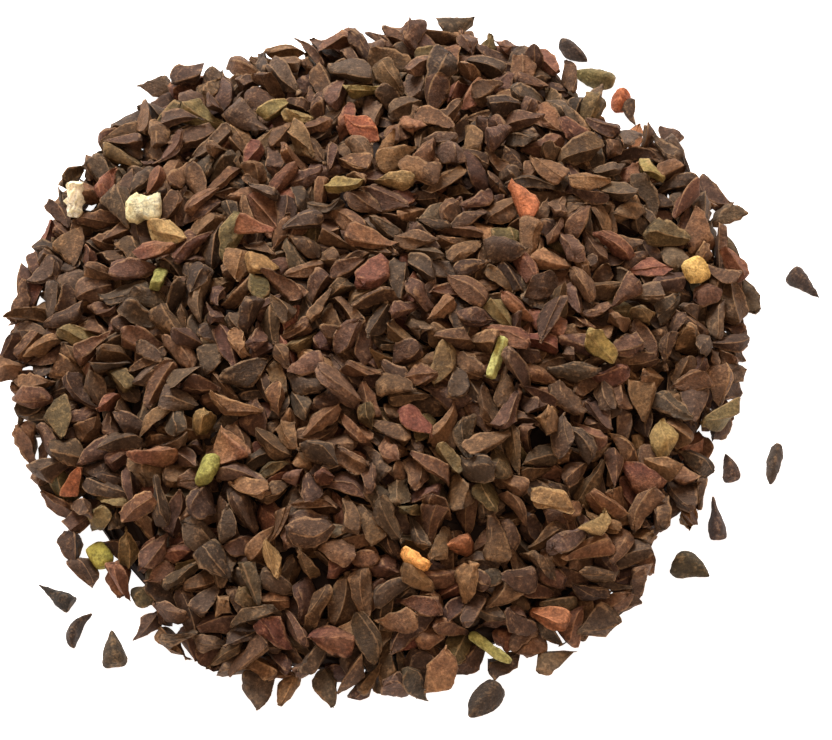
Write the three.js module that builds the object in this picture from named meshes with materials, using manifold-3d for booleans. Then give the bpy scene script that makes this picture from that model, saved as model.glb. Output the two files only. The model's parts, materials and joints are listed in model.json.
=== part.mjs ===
// A low heap of Syrian rue (harmal) seeds on a flat surface, with a few seeds lying loose round it.
//
// The heap is one solid: a low knobbly core with the seeds that show fused on, plus the few bits of
// stalk and husk that lie among them. Each loose seed is a solid of its own. A seed is a wedge that
// is fullest near its blunt end and runs out to a point, with ridges along it where its flat faces
// meet, because the seeds press against each other in a round capsule as they grow.
//
// Units are millimetres, +Z is up, and the origin is the centre of the heap's flat base.

import * as THREE from "three";
import { LoftGeometry } from "three/addons/geometries/LoftGeometry.js";
import { mergeVertices } from "three/addons/utils/BufferGeometryUtils.js";
import Module from "manifold-3d";

// Heap: its base is nearly round, and its top is a low dome that falls off steeply at the rim.
const HEAP_RADIUS = 27.9;
const HEAP_HEIGHT = 9.4;
const RIM_HEIGHT = 1.6;
const DOME_FULLNESS = 2.4;
const DOME_SHOULDER = 0.85;
// How the outline departs from a circle: lobes round it, height of a lobe, direction of the first one.
const OUTLINE_LOBES = [
  { count: 2, height: 0.7, direction: 70 },
  { count: 3, height: 0.4, direction: 36 },
  { count: 4, height: 0.3, direction: 58 },
  { count: 6, height: 0.25, direction: 10 },
];

// Seeds: mean size, and how far a single seed may be off it.
const SEED_LENGTH = 3.7;
const SEED_WIDTH = 2.15;
const SEED_THICKNESS = 1.55;
const SEED_SPREAD = 0.15;
// Directions of a seed's ridges about its length, the two widest apart lying down, in degrees; how
// far a ridge may be off, in radians; and the share of seeds that have four ridges, not three.
const THREE_RIDGES = [-146, -32, 88];
const FOUR_RIDGES = [-148, -38, 38, 138];
const RIDGE_OFFSET = 0.14;
const FOUR_RIDGED_SHARE = 0.25;

// Seeds fused to the heap: how many, how far out the top ones reach, how deep they are sunk in it and
// how unevenly, and how far each may tip out of its surface, in degrees.
const TOP_SEEDS = 322;
const TOP_REACH = 0.95;
const TOP_SINK = 0.66;
const TOP_UNEVENNESS = 0.35;
const TOP_SHIFT = 0.35;
const TILT = 20;
const RIM_SEEDS = 66;
const RIM_INSET = 1.25;
const RIM_UNEVENNESS = 0.55;
const RIM_SHIFT = 0.3;
// How much less the rim's seeds tip than those on top.
const RIM_LEVELLING = 3;

// Core: rings and sectors of its dome, how far its top and its edge lie inside the heap's, how high
// it is at its edge, how full below its shoulder, and its bumps.
const CORE_RINGS = 8;
const CORE_SECTORS = 32;
const CORE_DEPTH = 1.0;
const CORE_INSET = 1.1;
const CORE_RIM_HEIGHT = 0.3;
const CORE_FULLNESS = 2.9;
const CORE_BUMP = 0.25;

// Rim seeds that stand out from the round outline: x, y, direction of the point, length, width.
const STANDING_OUT = [
  [-17.7, 23.6, -178, 3.0, 2.0],
  [-16.9, 22.2, 71, 2.6, 1.8],
  [25.4, 13.6, -33, 3.3, 2.0],
  [26.3, 11.8, -145, 3.0, 2.0],
  [-8.5, -28.2, -82, 3.2, 2.4],
  [-6.5, -28.0, -108, 3.3, 1.5],
  [-3.7, -28.2, -66, 3.1, 1.9],
  [12.5, -25.6, 29, 3.5, 1.8],
  [27.5, 4.5, 101, 3.4, 2.0],
  [22.2, 18.3, -98, 3.0, 2.1],
  [-21.2, -18.7, -57, 3.2, 1.8],
  [-22.9, -16.5, -75, 3.2, 1.9],
  [-19.0, -20.9, -20, 3.1, 2.0],
  [-16.6, -23.0, -128, 3.0, 1.7],
  [5.8, 29.4, 14, 3.0, 1.9],
];

// Bits of stalk and husk on top of the heap: x, y, direction, length, width, thickness, share of the
// width left at each end.
const STALKS_AND_HUSKS = [
  [8.4, -5.4, 73, 3.5, 1.0, 0.9, 0.9],
  [8.2, -24.6, 172, 3.4, 1.1, 0.9, 0.6],
  [-16.1, 2.7, 84, 2.8, 1.1, 0.9, 0.9],
  [-12.6, -14.9, 70, 2.3, 1.6, 1.2, 0.5],
  [-19.4, -16.2, -13, 1.9, 1.6, 1.4, 0.5],
  [23.4, 4.3, 37, 2.3, 1.9, 1.0, 0.6],
  [-18.2, 8.7, 4, 2.5, 1.9, 1.0, 0.7],
  [-22.9, 9.9, 75, 2.7, 1.6, 1.0, 0.7],
];
const BAR_SIDES = 5;
const BAR_STATIONS = [0, 0.3, 0.7, 0.97, 1];

// Colours of the heap and of the loose seeds.
const DARK = 0x4a3426;
const BROWN = 0x5f4032;
const OLIVE = 0x6f5f35;
const REDDISH = 0x8c4a2c;

// Loose seeds: x, y, direction of the point, length, width, thickness, width left at the blunt end,
// where it is widest, how straight it tapers (1 is straight) and how far it is bent, as shares, and
// its colour.
const LOOSE_SEEDS = [
  [-23.4, -20.4, 148, 3.0, 1.6, 1.3, 0.8, 0.15, 1.1, 0, DARK],
  [-21.3, -23.3, 63, 3.1, 1.2, 1.2, 0.2, 0.42, 1.6, 0.5, DARK],
  [-19.0, -24.7, 98, 2.9, 2.0, 1.4, 0.72, 0.22, 1.6, 0, BROWN],
  [7.4, -28.9, -128, 3.4, 2.3, 1.5, 0.5, 0.36, 2.3, 0, DARK],
  [22.6, -18.4, -26, 2.9, 2.5, 1.5, 0.65, 0.3, 1.4, 0.1, OLIVE],
  [24.5, -14.1, 95, 3.5, 1.5, 1.3, 0.75, 0.2, 1.3, 0, BROWN],
  [25.6, -9.9, 101, 2.3, 1.4, 1.1, 0.8, 0.3, 1.5, -0.1, BROWN],
  [28.9, -9.8, -102, 3.4, 1.2, 1.1, 0.75, 0.3, 3.4, 0, DARK],
  [32.1, 5.6, -51, 3.2, 1.8, 1.4, 0.82, 0.15, 1.1, 0, DARK],
  [15.0, 27.0, -43, 3.0, 1.5, 1.3, 0.45, 0.34, 2.0, 0, DARK],
  [16.3, 24.7, 165, 3.7, 2.0, 1.3, 0.5, 0.36, 1.6, 0, OLIVE],
  [18.4, 22.2, -109, 2.3, 1.6, 1.3, 0.75, 0.4, 2.2, 0, REDDISH],
];

const LOOSE_BULGE = 0.35;

const GOLDEN_ANGLE = Math.PI * (3 - Math.sqrt(5));
// Where the points that stand for a seed lie along it, how many turns it tries, and how far it may
// shift as it settles between its neighbours.
const SPINE = [-0.4, -0.2, 0, 0.2, 0.4];
const TURNS = 10;
const SETTLE_SHIFT = 0.5;
const SHIFTS = [[0, 0], [1, 0], [-1, 0], [0, 1], [0, -1]];

// Where sections lie along a fused seed and along a loose one, and points on each face of them.
const FEW_STATIONS = [0, 0.5, 1];
const MANY_STATIONS = [0, 0.06, 0.16, 0.3, 0.48, 0.66, 0.82, 0.93, 1];
const FLAT_FACE = 1;
const ROUND_FACE = 3;

// Least gap between the heap and a loose seed, depth of a loose seed's flat underside, and how
// exactly surfaces are measured, merged and made simpler.
const GAP = 0.35;
const FOOT = 0.06;
const SLOPE_STEP = 0.5;
const MERGE_DISTANCE = 1e-3;
const SIMPLIFY_TOLERANCE = 0.03;

const UP = new THREE.Vector3(0, 0, 1);

const wasm = await Module();
wasm.setup();

// A repeatable stream of numbers from 0 to 1.
function randomStream(seed) {
  let state = seed;
  return () => {
    state = (state + 0x6d2b79f5) | 0;
    let t = Math.imul(state ^ (state >>> 15), 1 | state);
    t = (t + Math.imul(t ^ (t >>> 7), 61 | t)) ^ t;
    return ((t ^ (t >>> 14)) >>> 0) / 4294967296;
  };
}

const random = randomStream(23);
const between = (low, high) => low + (high - low) * random();
const around = (middle, spread) => middle * (1 + spread * between(-1, 1));
const radians = THREE.MathUtils.degToRad;
const drawTilt = () => radians(TILT) * between(-1, 1);
const drawTurn = () => between(0, 2 * Math.PI);

// The heap's outline on the ground in a direction.
function outlineRadius(angle) {
  return OUTLINE_LOBES.reduce(
    (radius, lobe) =>
      radius +
      lobe.height * Math.cos(lobe.count * (angle - radians(lobe.direction))),
    HEAP_RADIUS,
  );
}

// Height of a dome: how far its edge lies inside the outline, how full it is below its shoulder, and
// how high it is at its edge and on top.
function domeHeight(x, y, inset, fullness, edgeHeight, topHeight) {
  const edge = outlineRadius(Math.atan2(y, x)) - inset;
  const share = Math.min(1, Math.hypot(x, y) / edge);
  const rise = (1 - share ** fullness) ** DOME_SHOULDER;
  return edgeHeight + (topHeight - edgeHeight) * rise;
}

function heapHeight(x, y) {
  return domeHeight(x, y, 0, DOME_FULLNESS, RIM_HEIGHT, HEAP_HEIGHT);
}

function coreHeight(x, y) {
  const top = HEAP_HEIGHT - CORE_DEPTH;
  return domeHeight(x, y, CORE_INSET, CORE_FULLNESS, CORE_RIM_HEIGHT, top);
}

function heapNormal(x, y) {
  const [before, after] = [-SLOPE_STEP, SLOPE_STEP];
  const riseX = heapHeight(x + after, y) - heapHeight(x + before, y);
  const riseY = heapHeight(x, y + after) - heapHeight(x, y + before);
  return new THREE.Vector3(-riseX, -riseY, after - before).normalize();
}

// A closed geometry as a solid. Its equal points are merged, and faces that this leaves without an
// area are dropped.
function solidOf(geometry) {
  const bare = new THREE.BufferGeometry()
    .setAttribute("position", geometry.getAttribute("position"))
    .setIndex(geometry.getIndex());
  const merged = mergeVertices(bare, MERGE_DISTANCE);
  const index = merged.getIndex().array;
  const faces = [];
  for (let i = 0; i < index.length; i += 3) {
    const [a, b, c] = index.slice(i, i + 3);
    if (a !== b && b !== c && c !== a) faces.push(a, b, c);
  }
  const mesh = new wasm.Mesh({
    numProp: 3,
    vertProperties: merged.getAttribute("position").array,
    triVerts: new Uint32Array(faces),
  });
  return new wasm.Manifold(mesh);
}

// The outer skin of a solid's largest body, so with any sealed hollow filled and any scrap dropped.
function largestBody(solid) {
  return solid
    .decompose()
    .reduce((best, body) => (body.volume() > best.volume() ? body : best));
}

function geometryOf(solid) {
  const { vertProperties, triVerts } = solid.getMesh();
  return new THREE.BufferGeometry()
    .setAttribute("position", new THREE.BufferAttribute(vertProperties, 3))
    .setIndex(new THREE.BufferAttribute(triVerts, 1));
}

function meshOf(solid, name, color) {
  const geometry = geometryOf(solid);
  geometry.computeVertexNormals();
  const material = new THREE.MeshStandardMaterial({
    color,
    roughness: 0.75,
    metalness: 0,
  });
  const mesh = new THREE.Mesh(geometry, material);
  mesh.name = name;
  return mesh;
}

// How wide a seed is, as a share of its width, at a share of its length from the blunt end.
function seedProfile(along, fullest, bluntness, taper) {
  if (along < fullest) {
    const rise = 1 - along / fullest;
    return bluntness + (1 - bluntness) * Math.sqrt(1 - rise * rise);
  }
  return 1 - ((along - fullest) / (1 - fullest)) ** taper;
}

// A seed along X, blunt end first. Its sections have a corner for each ridge, and further points on
// the faces between ridges; a bulge of 1 makes a face round, 0 flat and less than 0 hollow. The
// seed's width and thickness are measured over its ridges.
function seedGeometry(seed, stations, pointsPerFace) {
  const across = seed.ridges.map(Math.cos);
  const upward = seed.ridges.map(Math.sin);
  const widest = Math.max(...across) - Math.min(...across);
  const tallest = Math.max(...upward) - Math.min(...upward);
  const sections = stations.map((along) => {
    const size = seedProfile(along, seed.fullest, seed.bluntness, seed.taper);
    const bow = seed.bend * (1 - (2 * along - 1) ** 2);
    return seed.ridges.flatMap((ridge, k) => {
      const next = seed.ridges[(k + 1) % seed.ridges.length];
      const span = (next - ridge + 2 * Math.PI) % (2 * Math.PI);
      return Array.from({ length: pointsPerFace }, (_, i) => {
        const turned = (span * i) / pointsPerFace;
        const chord = Math.cos(span / 2) / Math.cos(turned - span / 2);
        const reach = size * (chord + (1 - chord) * seed.bulge);
        return new THREE.Vector3(
          seed.length * (along - 0.5),
          seed.width * ((reach * Math.cos(ridge + turned)) / widest + bow),
          (seed.thickness * reach * Math.sin(ridge + turned)) / tallest,
        );
      });
    });
  });
  return new LoftGeometry(sections, { capStart: true });
}

function drawRidges() {
  const corners = random() < FOUR_RIDGED_SHARE ? FOUR_RIDGES : THREE_RIDGES;
  const turn = between(-RIDGE_OFFSET, RIDGE_OFFSET);
  return corners.map(
    (corner) => radians(corner) + turn + between(-RIDGE_OFFSET, RIDGE_OFFSET),
  );
}

function drawSeed() {
  return {
    length: around(SEED_LENGTH, SEED_SPREAD),
    width: around(SEED_WIDTH, SEED_SPREAD),
    thickness: around(SEED_THICKNESS, SEED_SPREAD),
    fullest: between(0.2, 0.36),
    bluntness: between(0.4, 0.75),
    taper: between(1.3, 2.2),
    bend: between(-0.12, 0.12),
    bulge: 0,
    ridges: drawRidges(),
  };
}

// A stalk or husk: a bar of about the same width all along, standing on one of its sides.
function barGeometry(length, width, thickness, ends) {
  const shape = {
    length,
    width,
    thickness,
    fullest: 0.5,
    bluntness: ends,
    taper: 2,
    bend: 0,
    bulge: 0,
    ridges: Array.from({ length: BAR_SIDES }, (_, i) => ((i - 0.75) / BAR_SIDES) * 2 * Math.PI),
  };
  return seedGeometry(shape, BAR_STATIONS, FLAT_FACE);
}

// Turns and places a geometry: yaw turns it about the surface's normal, and pitch and roll tip it
// out of the surface.
function place(geometry, position, normal, yaw, pitch = 0, roll = 0) {
  const onSurface = new THREE.Quaternion().setFromUnitVectors(UP, normal);
  const tipped = new THREE.Quaternion().setFromEuler(
    new THREE.Euler(roll, pitch, yaw, "ZYX"),
  );
  const unscaled = new THREE.Vector3(1, 1, 1);
  return geometry.applyMatrix4(
    new THREE.Matrix4().compose(position, onSurface.multiply(tipped), unscaled),
  );
}

// A point of the core's top: rings lie closer together towards the steep rim.
function corePoint(ring, sector) {
  const angle = ((sector + (ring % 2) / 2) / CORE_SECTORS) * 2 * Math.PI;
  const reach = outlineRadius(angle) - CORE_INSET;
  const radius = reach * Math.sin(((ring / CORE_RINGS) * Math.PI) / 2);
  const x = radius * Math.cos(angle);
  const y = radius * Math.sin(angle);
  const bump = ring < CORE_RINGS ? between(-1, 1) * CORE_BUMP : 0;
  return [x, y, coreHeight(x, y) + bump];
}

// The core: rings of points from the middle of its top to its rim, one more ring on the ground, and
// the middle of its base.
function coreGeometry() {
  const points = [[0, 0, coreHeight(0, 0)]];
  for (let ring = 1; ring <= CORE_RINGS; ring++) {
    for (let sector = 0; sector < CORE_SECTORS; sector++) {
      points.push(corePoint(ring, sector));
    }
  }
  points.slice(-CORE_SECTORS).forEach(([x, y]) => points.push([x, y, 0]));
  points.push([0, 0, 0]);

  const at = (ring, sector) => 1 + (ring - 1) * CORE_SECTORS + (sector % CORE_SECTORS);
  const faces = [];
  for (let sector = 0; sector < CORE_SECTORS; sector++) {
    faces.push(0, at(1, sector), at(1, sector + 1));
    for (let ring = 1; ring <= CORE_RINGS; ring++) {
      const [a, b] = [at(ring, sector), at(ring, sector + 1)];
      const [c, d] = [at(ring + 1, sector), at(ring + 1, sector + 1)];
      faces.push(a, c, d, a, d, b);
    }
    const ground = CORE_RINGS + 1;
    faces.push(points.length - 1, at(ground, sector + 1), at(ground, sector));
  }
  return new THREE.BufferGeometry()
    .setAttribute("position", new THREE.Float32BufferAttribute(points.flat(), 3))
    .setIndex(faces);
}

// Points along a seed's length as it lies in plan, which stand for it when seeds are kept apart.
function spine(x, y, yaw, length) {
  return SPINE.map((share) => [
    x + share * length * Math.cos(yaw),
    y + share * length * Math.sin(yaw),
  ]);
}

// How much a spine crowds the seeds that already lie there.
function crowding(points, taken) {
  let sum = 0;
  for (const [x, y] of points) {
    for (const [u, v] of taken) {
      const short = SEED_WIDTH - Math.hypot(x - u, y - v);
      if (short > 0) sum += short * short;
    }
  }
  return sum;
}

// The place and turn near a point where a seed of this length crowds the seeds in taken the least.
function settle(x, y, length, taken) {
  const start = drawTurn();
  let best = { cost: Infinity };
  for (const [shiftX, shiftY] of SHIFTS) {
    for (let turn = 0; turn < TURNS; turn++) {
      const yaw = start + (turn / TURNS) * 2 * Math.PI;
      const at = [x + shiftX * SETTLE_SHIFT, y + shiftY * SETTLE_SHIFT];
      const points = spine(...at, yaw, length);
      const cost = crowding(points, taken);
      if (cost < best.cost) best = { cost, at, yaw, points };
    }
  }
  taken.push(...best.points);
  return best;
}

// Seeds on top of the heap, spaced evenly as a sunflower's are before they settle.
function topSeeds(taken) {
  return Array.from({ length: TOP_SEEDS }, (_, i) => {
    const angle = i * GOLDEN_ANGLE;
    const radius = TOP_REACH * outlineRadius(angle) * Math.sqrt((i + 0.5) / TOP_SEEDS);
    const seed = drawSeed();
    const { at, yaw } = settle(
      radius * Math.cos(angle) + between(-TOP_SHIFT, TOP_SHIFT),
      radius * Math.sin(angle) + between(-TOP_SHIFT, TOP_SHIFT),
      seed.length,
      taken,
    );
    const sink = TOP_SINK + between(-1, 1) * TOP_UNEVENNESS;
    const normal = heapNormal(...at);
    const position = new THREE.Vector3(...at, heapHeight(...at));
    position.addScaledVector(normal, -sink);
    const geometry = seedGeometry(seed, FEW_STATIONS, FLAT_FACE);
    return place(geometry, position, normal, yaw, drawTilt(), drawTilt());
  });
}

// Seeds round the foot of the heap, lying on the ground and partly under the others.
function rimSeeds(taken) {
  return Array.from({ length: RIM_SEEDS }, (_, i) => {
    const angle = ((i + between(-RIM_SHIFT, RIM_SHIFT)) / RIM_SEEDS) * 2 * Math.PI;
    const radius = outlineRadius(angle) - RIM_INSET + between(-1, 1) * RIM_UNEVENNESS;
    const seed = drawSeed();
    const { at, yaw } = settle(
      radius * Math.cos(angle),
      radius * Math.sin(angle),
      seed.length,
      taken,
    );
    const position = new THREE.Vector3(...at, SEED_THICKNESS / 2);
    const geometry = seedGeometry(seed, FEW_STATIONS, FLAT_FACE);
    return place(geometry, position, UP, yaw, drawTilt() / RIM_LEVELLING, drawTilt());
  });
}

function standingOutSeeds() {
  return STANDING_OUT.map(([x, y, direction, length, width]) => {
    const seed = seedGeometry({ ...drawSeed(), length, width }, FEW_STATIONS, FLAT_FACE);
    const position = new THREE.Vector3(x, y, SEED_THICKNESS / 2);
    return place(seed, position, UP, radians(direction));
  });
}

function stalksAndHusks() {
  return STALKS_AND_HUSKS.map(([x, y, direction, length, width, thickness, ends]) => {
    const bar = barGeometry(length, width, thickness, ends);
    const position = new THREE.Vector3(x, y, heapHeight(x, y) + thickness / 4);
    return place(bar, position, heapNormal(x, y), radians(direction));
  });
}

// A loose seed in its place, with its lowest part just under the ground, where it is cut off flat.
function looseSeed(row, extra = 0) {
  const [, , direction, length, width, thickness, bluntness, fullest, taper, bend] = row;
  const shape = {
    length: length + extra,
    width: width + extra,
    thickness: thickness + extra,
    bluntness,
    fullest,
    taper,
    bend,
    bulge: LOOSE_BULGE,
    ridges: THREE_RIDGES.map(radians),
  };
  const geometry = seedGeometry(shape, MANY_STATIONS, ROUND_FACE);
  geometry.rotateZ(radians(direction));
  geometry.computeBoundingBox();
  return geometry.translate(row[0], row[1], -geometry.boundingBox.min.z - FOOT);
}

function cutAtGround(solid) {
  return solid.trimByPlane([0, 0, 1], 0);
}

// The heap: everything fused, less what would touch a loose seed, and with one closed skin.
function heapSolid() {
  const blocked = LOOSE_SEEDS.map((row) => solidOf(looseSeed(row, 2 * GAP)));
  const isClear = (piece) =>
    blocked.every((loose) => loose.intersect(piece).isEmpty());
  const taken = STANDING_OUT.flatMap(([x, y, direction, length]) =>
    spine(x, y, radians(direction), length),
  );
  const settled = [...rimSeeds(taken), ...topSeeds(taken)].map(solidOf).filter(isClear);
  const placed = [coreGeometry(), ...standingOutSeeds(), ...stalksAndHusks()].map(solidOf);
  const fused = cutAtGround(wasm.Manifold.union([...placed, ...settled]));
  const simpler = fused.asOriginal().simplify(SIMPLIFY_TOLERANCE);
  return largestBody(solidOf(geometryOf(simpler)));
}

const pile = new THREE.Group();
pile.add(meshOf(heapSolid(), "seed_heap", DARK));
LOOSE_SEEDS.forEach((row, i) => {
  const name = "loose_seed_" + String(i + 1).padStart(2, "0");
  pile.add(meshOf(cutAtGround(solidOf(looseSeed(row))), name, row.at(-1)));
});

export default pile;
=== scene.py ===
"""A low heap of Syrian rue seeds on a pale floor, with a few seeds lying loose beside it.

The seeds are dropped on a hidden core by a rigid body simulation, and each is then rebuilt as a
finely modelled mesh where it came to rest. Lengths here are in millimetres and angles in degrees,
unless a comment says otherwise, and the meshes are scaled to metres as they are made.
"""

import json
import math

import bmesh
import bpy
import numpy as np
from mathutils import Matrix, Quaternion, Vector

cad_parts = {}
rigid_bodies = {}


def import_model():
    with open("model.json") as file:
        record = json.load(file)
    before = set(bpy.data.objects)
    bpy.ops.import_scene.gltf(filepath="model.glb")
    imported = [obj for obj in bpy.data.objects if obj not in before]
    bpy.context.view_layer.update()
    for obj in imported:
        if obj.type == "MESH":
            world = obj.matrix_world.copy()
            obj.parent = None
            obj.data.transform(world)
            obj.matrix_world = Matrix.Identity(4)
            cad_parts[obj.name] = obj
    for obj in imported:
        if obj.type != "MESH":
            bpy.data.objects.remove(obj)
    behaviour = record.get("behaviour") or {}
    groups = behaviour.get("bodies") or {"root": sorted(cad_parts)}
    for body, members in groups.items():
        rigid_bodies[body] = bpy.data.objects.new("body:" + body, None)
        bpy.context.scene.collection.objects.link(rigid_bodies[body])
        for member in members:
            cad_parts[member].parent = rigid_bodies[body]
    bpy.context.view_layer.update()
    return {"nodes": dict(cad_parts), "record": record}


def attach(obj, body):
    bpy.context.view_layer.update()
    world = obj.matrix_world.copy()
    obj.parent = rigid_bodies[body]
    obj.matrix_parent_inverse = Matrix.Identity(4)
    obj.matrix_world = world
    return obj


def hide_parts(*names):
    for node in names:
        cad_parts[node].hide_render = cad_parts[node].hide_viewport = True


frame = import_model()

METRES = 0.001
SEED_OF_DRAWS = 7
# Added to a length that is divided by, so that it is never zero.
TINY = 1e-9

# Camera: the point it looks at, how far away and how high above the floor it is, its lens, and from
# how near it sees things.
CAMERA_AIM = (2.63, -2.58, 2.0)
CAMERA_DISTANCE = 290.0
CAMERA_ELEVATION = 60.0
CAMERA_LENS = 169.4
CAMERA_CLIP = 10.0

# Heap: radius of its outline, height of its dome, and two powers that give the dome's curve: the
# higher the first the flatter its top, and the lower the second the steeper its edge.
HEAP_RADIUS = 27.9
HEAP_HEIGHT = 9.4
DOME_FULLNESS = 2.4
DOME_SHOULDER = 0.85
# Lobes of the outline: how many round it, how high, and the direction of the first one.
OUTLINE_LOBES = [(2, 0.7, 70), (3, 0.4, 36), (4, 0.3, 58), (6, 0.25, 10)]

# Core: how far its top and edge lie inside the heap's, the size of its bumps, the least height of
# its top, the height of its base, its two near-black colours, which are painted shade where the core
# shows between the seeds, the size of their patches, and its roughness.
CORE_DEPTH = 3.3
CORE_INSET = 2.4
CORE_BUMP = 0.4
CORE_LEAST = 0.05
CORE_BASE = 0.02
CORE_SHADE_COLOURS = ((0.012, 0.007, 0.005), (0.035, 0.02, 0.014))
CORE_PATCH = 1.5
CORE_ROUGHNESS = 0.9
CORE_RINGS = 40
CORE_SECTORS = 120

# Seeds as they start: layers, spacing in a layer, rise from one layer to the next and its shift
# along X and Y in shares of the spacing, steps of the lattice to each side of the middle, how far
# the lowest layer is above the core and inside the outline, how much further inside each next one
# is, and how far a start is off its place.
LAYERS = 4
LAYER_PITCH = 2.55
LAYER_RISE = 2.6
LAYER_SHIFT = (0.37, 0.21)
LATTICE_STEPS = 16
START_GAP = 1.4
START_INSET = 0.7
LAYER_INSET = 0.5
START_JITTER = 0.3

# Settling: frames inside the fence, after it, and for what is laid on top at the end, steps in a
# frame, rounds of the solver in a step, gravity in mm/s2 (weak, so that seeds land softly), friction,
# damping, the damping of what is laid on top, and the margin round each hull.
FENCED_FRAMES = 36
FREE_FRAMES = 8
LAYING_FRAMES = 9
SETTLE_STEPS = 4
SOLVER_ROUNDS = 10
GRAVITY = 150.0
FRICTION = 0.9
DAMPING = 0.3
LAYING_DAMPING = 0.9
MARGIN = 0.02
# Height of the fence that the seeds fall into, which stands on the outline.
FENCE_HEIGHT = 20.0
# The least height of a thing above the floor. The slab under the floor: how far it reaches to each
# side, and its depth.
FLOOR_GAP = 0.01
SLAB_REACH = 60.0
SLAB_DEPTH = 10.0
# A poured seed is left out if its middle comes to rest so far out of the outline, if any of it is
# so near a loose seed, if its middle is so near that of a seed at the rim, or if fewer other seeds
# than the least number are in its reach.
SPILL = 0.2
LOOSE_CLEARANCE = 0.5
RIM_CLEARANCE = 1.5
NEIGHBOUR_REACH = 2.8
LEAST_NEIGHBOURS = 3
# Where a chosen thing is laid: how near its middle, and how far under the highest seed there, other
# seeds make room for it, how near its middle the rest counts as under it, and how high above that
# it starts.
POCKET = 1.2
POCKET_DEPTH = 1.0
FOOTPRINT = 1.2
DROP = 0.1

# A seed's mesh: where its sections lie along it, and its points on a face between two ridges. The
# hull that settles has only some of the sections, and the ridges' points.
STATIONS = np.array([0, 0.012, 0.045, 0.11, 0.2, 0.32, 0.45, 0.58, 0.7, 0.81, 0.9, 0.96, 1.0])
FACE_POINTS = np.array([0, 0.11, 0.36, 0.64, 0.89])
HULL_STATIONS = [1, 4, 7, 9, 12]

# A seed's section: the lowest and highest place of each of its ridges, across and up, in shares of
# its width and thickness.
RIDGE_PLACES = [
    ((0.42, 0.5), (-0.25, 0.3)),
    ((-0.3, 0.3), (0.3, 0.52)),
    ((-0.5, -0.42), (-0.25, 0.3)),
    ((-0.3, 0.3), (-0.58, -0.38)),
]
RIDGES = len(RIDGE_PLACES)
AROUND = RIDGES * len(FACE_POINTS)

# Sizes of a whole seed: its mean and how much seeds differ, as a share of it. The spread of the
# size in all, and the lowest and highest share of the mean that the whole and each size may have.
SEED_SIZES = {"length": (3.4, 0.08), "width": (1.85, 0.13), "thickness": (1.4, 0.15)}
SIZE_SPREAD = 0.08
SIZE_LIMITS = (0.8, 1.15)
SHARE_LIMITS = (0.65, 1.3)
# Lowest and highest value of what is drawn evenly for every seed: where along it is fullest, how
# square its blunt end is, how full it stays towards the tip, the tip's width, and how far the tip
# droops, as a share of the thickness.
EVEN_DRAWS = {
    "fullest": (0.12, 0.42),
    "blunt": (1.5, 6.0),
    "taper": (0.95, 1.9),
    "tip": (0.05, 0.24),
    "droop": (-0.15, 0.15),
}
# Some seeds are broken off before the tip: their share, and what they have instead.
BROKEN_SHARE = 0.08
BROKEN_DRAWS = {"taper": (3.0, 4.0), "tip": (0.45, 0.6)}
BROKEN_LENGTH = (0.55, 0.8)
# Spread of the bend across and up, of the slant of the blunt end, and of the twist.
BEND = 0.06
OBLIQUE = 0.35
TWIST = 0.25
# Three-sided seeds: their share, how faint the fourth ridge is, how far its two faces arch.
THREE_SIDED_SHARE = 0.65
FAINT_RIDGE = 0.2
FAINT_ARCH = 0.15
SHARPNESS = (0.4, 1.0)
ARCH = (-0.13, 0.03)
# Sides on which a seed is pressed flat: how many, how they turn to its length, width and thickness,
# and how near its middle they come, as a share of its reach.
PRESSED_SIDES = 6
PRESS_TURN = (0.7, 1.0, 1.0)
PRESS_REACH = (0.55, 0.97)
# Lips of the ridges: how far they stand out, and how far the faces beside them are hollowed.
LIP_HEIGHT = 0.08
LIP_HOLLOW = 0.03
# Wrinkles: their wave lengths and heights. Roughness of single points. Dents: size and depth.
WRINKLES = [(2.2, 0.03), (1.5, 0.035), (1.0, 0.035), (0.7, 0.03), (0.5, 0.025)]
ROUGHNESS = 0.014
DENTS = 2
DENT_SIZE = (0.35, 0.7)
DENT_DEPTH = (0.02, 0.22)
# Bits of stalk and husk: how square they are along, and the share of the end that its cut face has.
BIT_SQUARENESS = 6
BIT_CUT = 0.75
# Loose seeds: how worn they are next to the others, how pale their edges are (partly a worn coat,
# partly a painted highlight), from what angle between its faces an edge of their solid is one, how
# near its equal points are in metres, and how often its faces are divided.
LOOSE_WEAR = 0.45
LOOSE_EDGE_WEAR_AND_HIGHLIGHT = 0.25
LOOSE_EDGE_ANGLE = 40
MERGE_DISTANCE = 1e-6
FINER_LEVELS = 2
# Bends of the surface, as rise over run, from which it turns pale and at which it is palest. The
# pale edge is partly a worn coat and partly a painted highlight on the ridges.
PALE_BEND = (0.22, 0.75)

# Kinds of seed: share of the heap, colour, second colour that part of some seeds has, slot.
KINDS = {
    "grey_seeds": (0.22, (0.067, 0.043, 0.028), (0.082, 0.052, 0.028), "dark_seed"),
    "plum_seeds": (0.22, (0.077, 0.041, 0.027), (0.102, 0.052, 0.029), "dark_seed"),
    "umber_seeds": (0.21, (0.08, 0.044, 0.023), (0.13, 0.07, 0.03), "brown_seed"),
    "brown_seeds": (0.2, (0.102, 0.052, 0.028), (0.15, 0.076, 0.035), "brown_seed"),
    "reddish_seeds": (0.06, (0.13, 0.05, 0.031), (0.185, 0.09, 0.044), "reddish_seed"),
    "tan_seeds": (0.06, (0.17, 0.094, 0.043), (0.12, 0.058, 0.028), "tan_seed"),
    "olive_seeds": (0.03, (0.088, 0.063, 0.026), (0.12, 0.088, 0.034), "olive_seed"),
}
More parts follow.
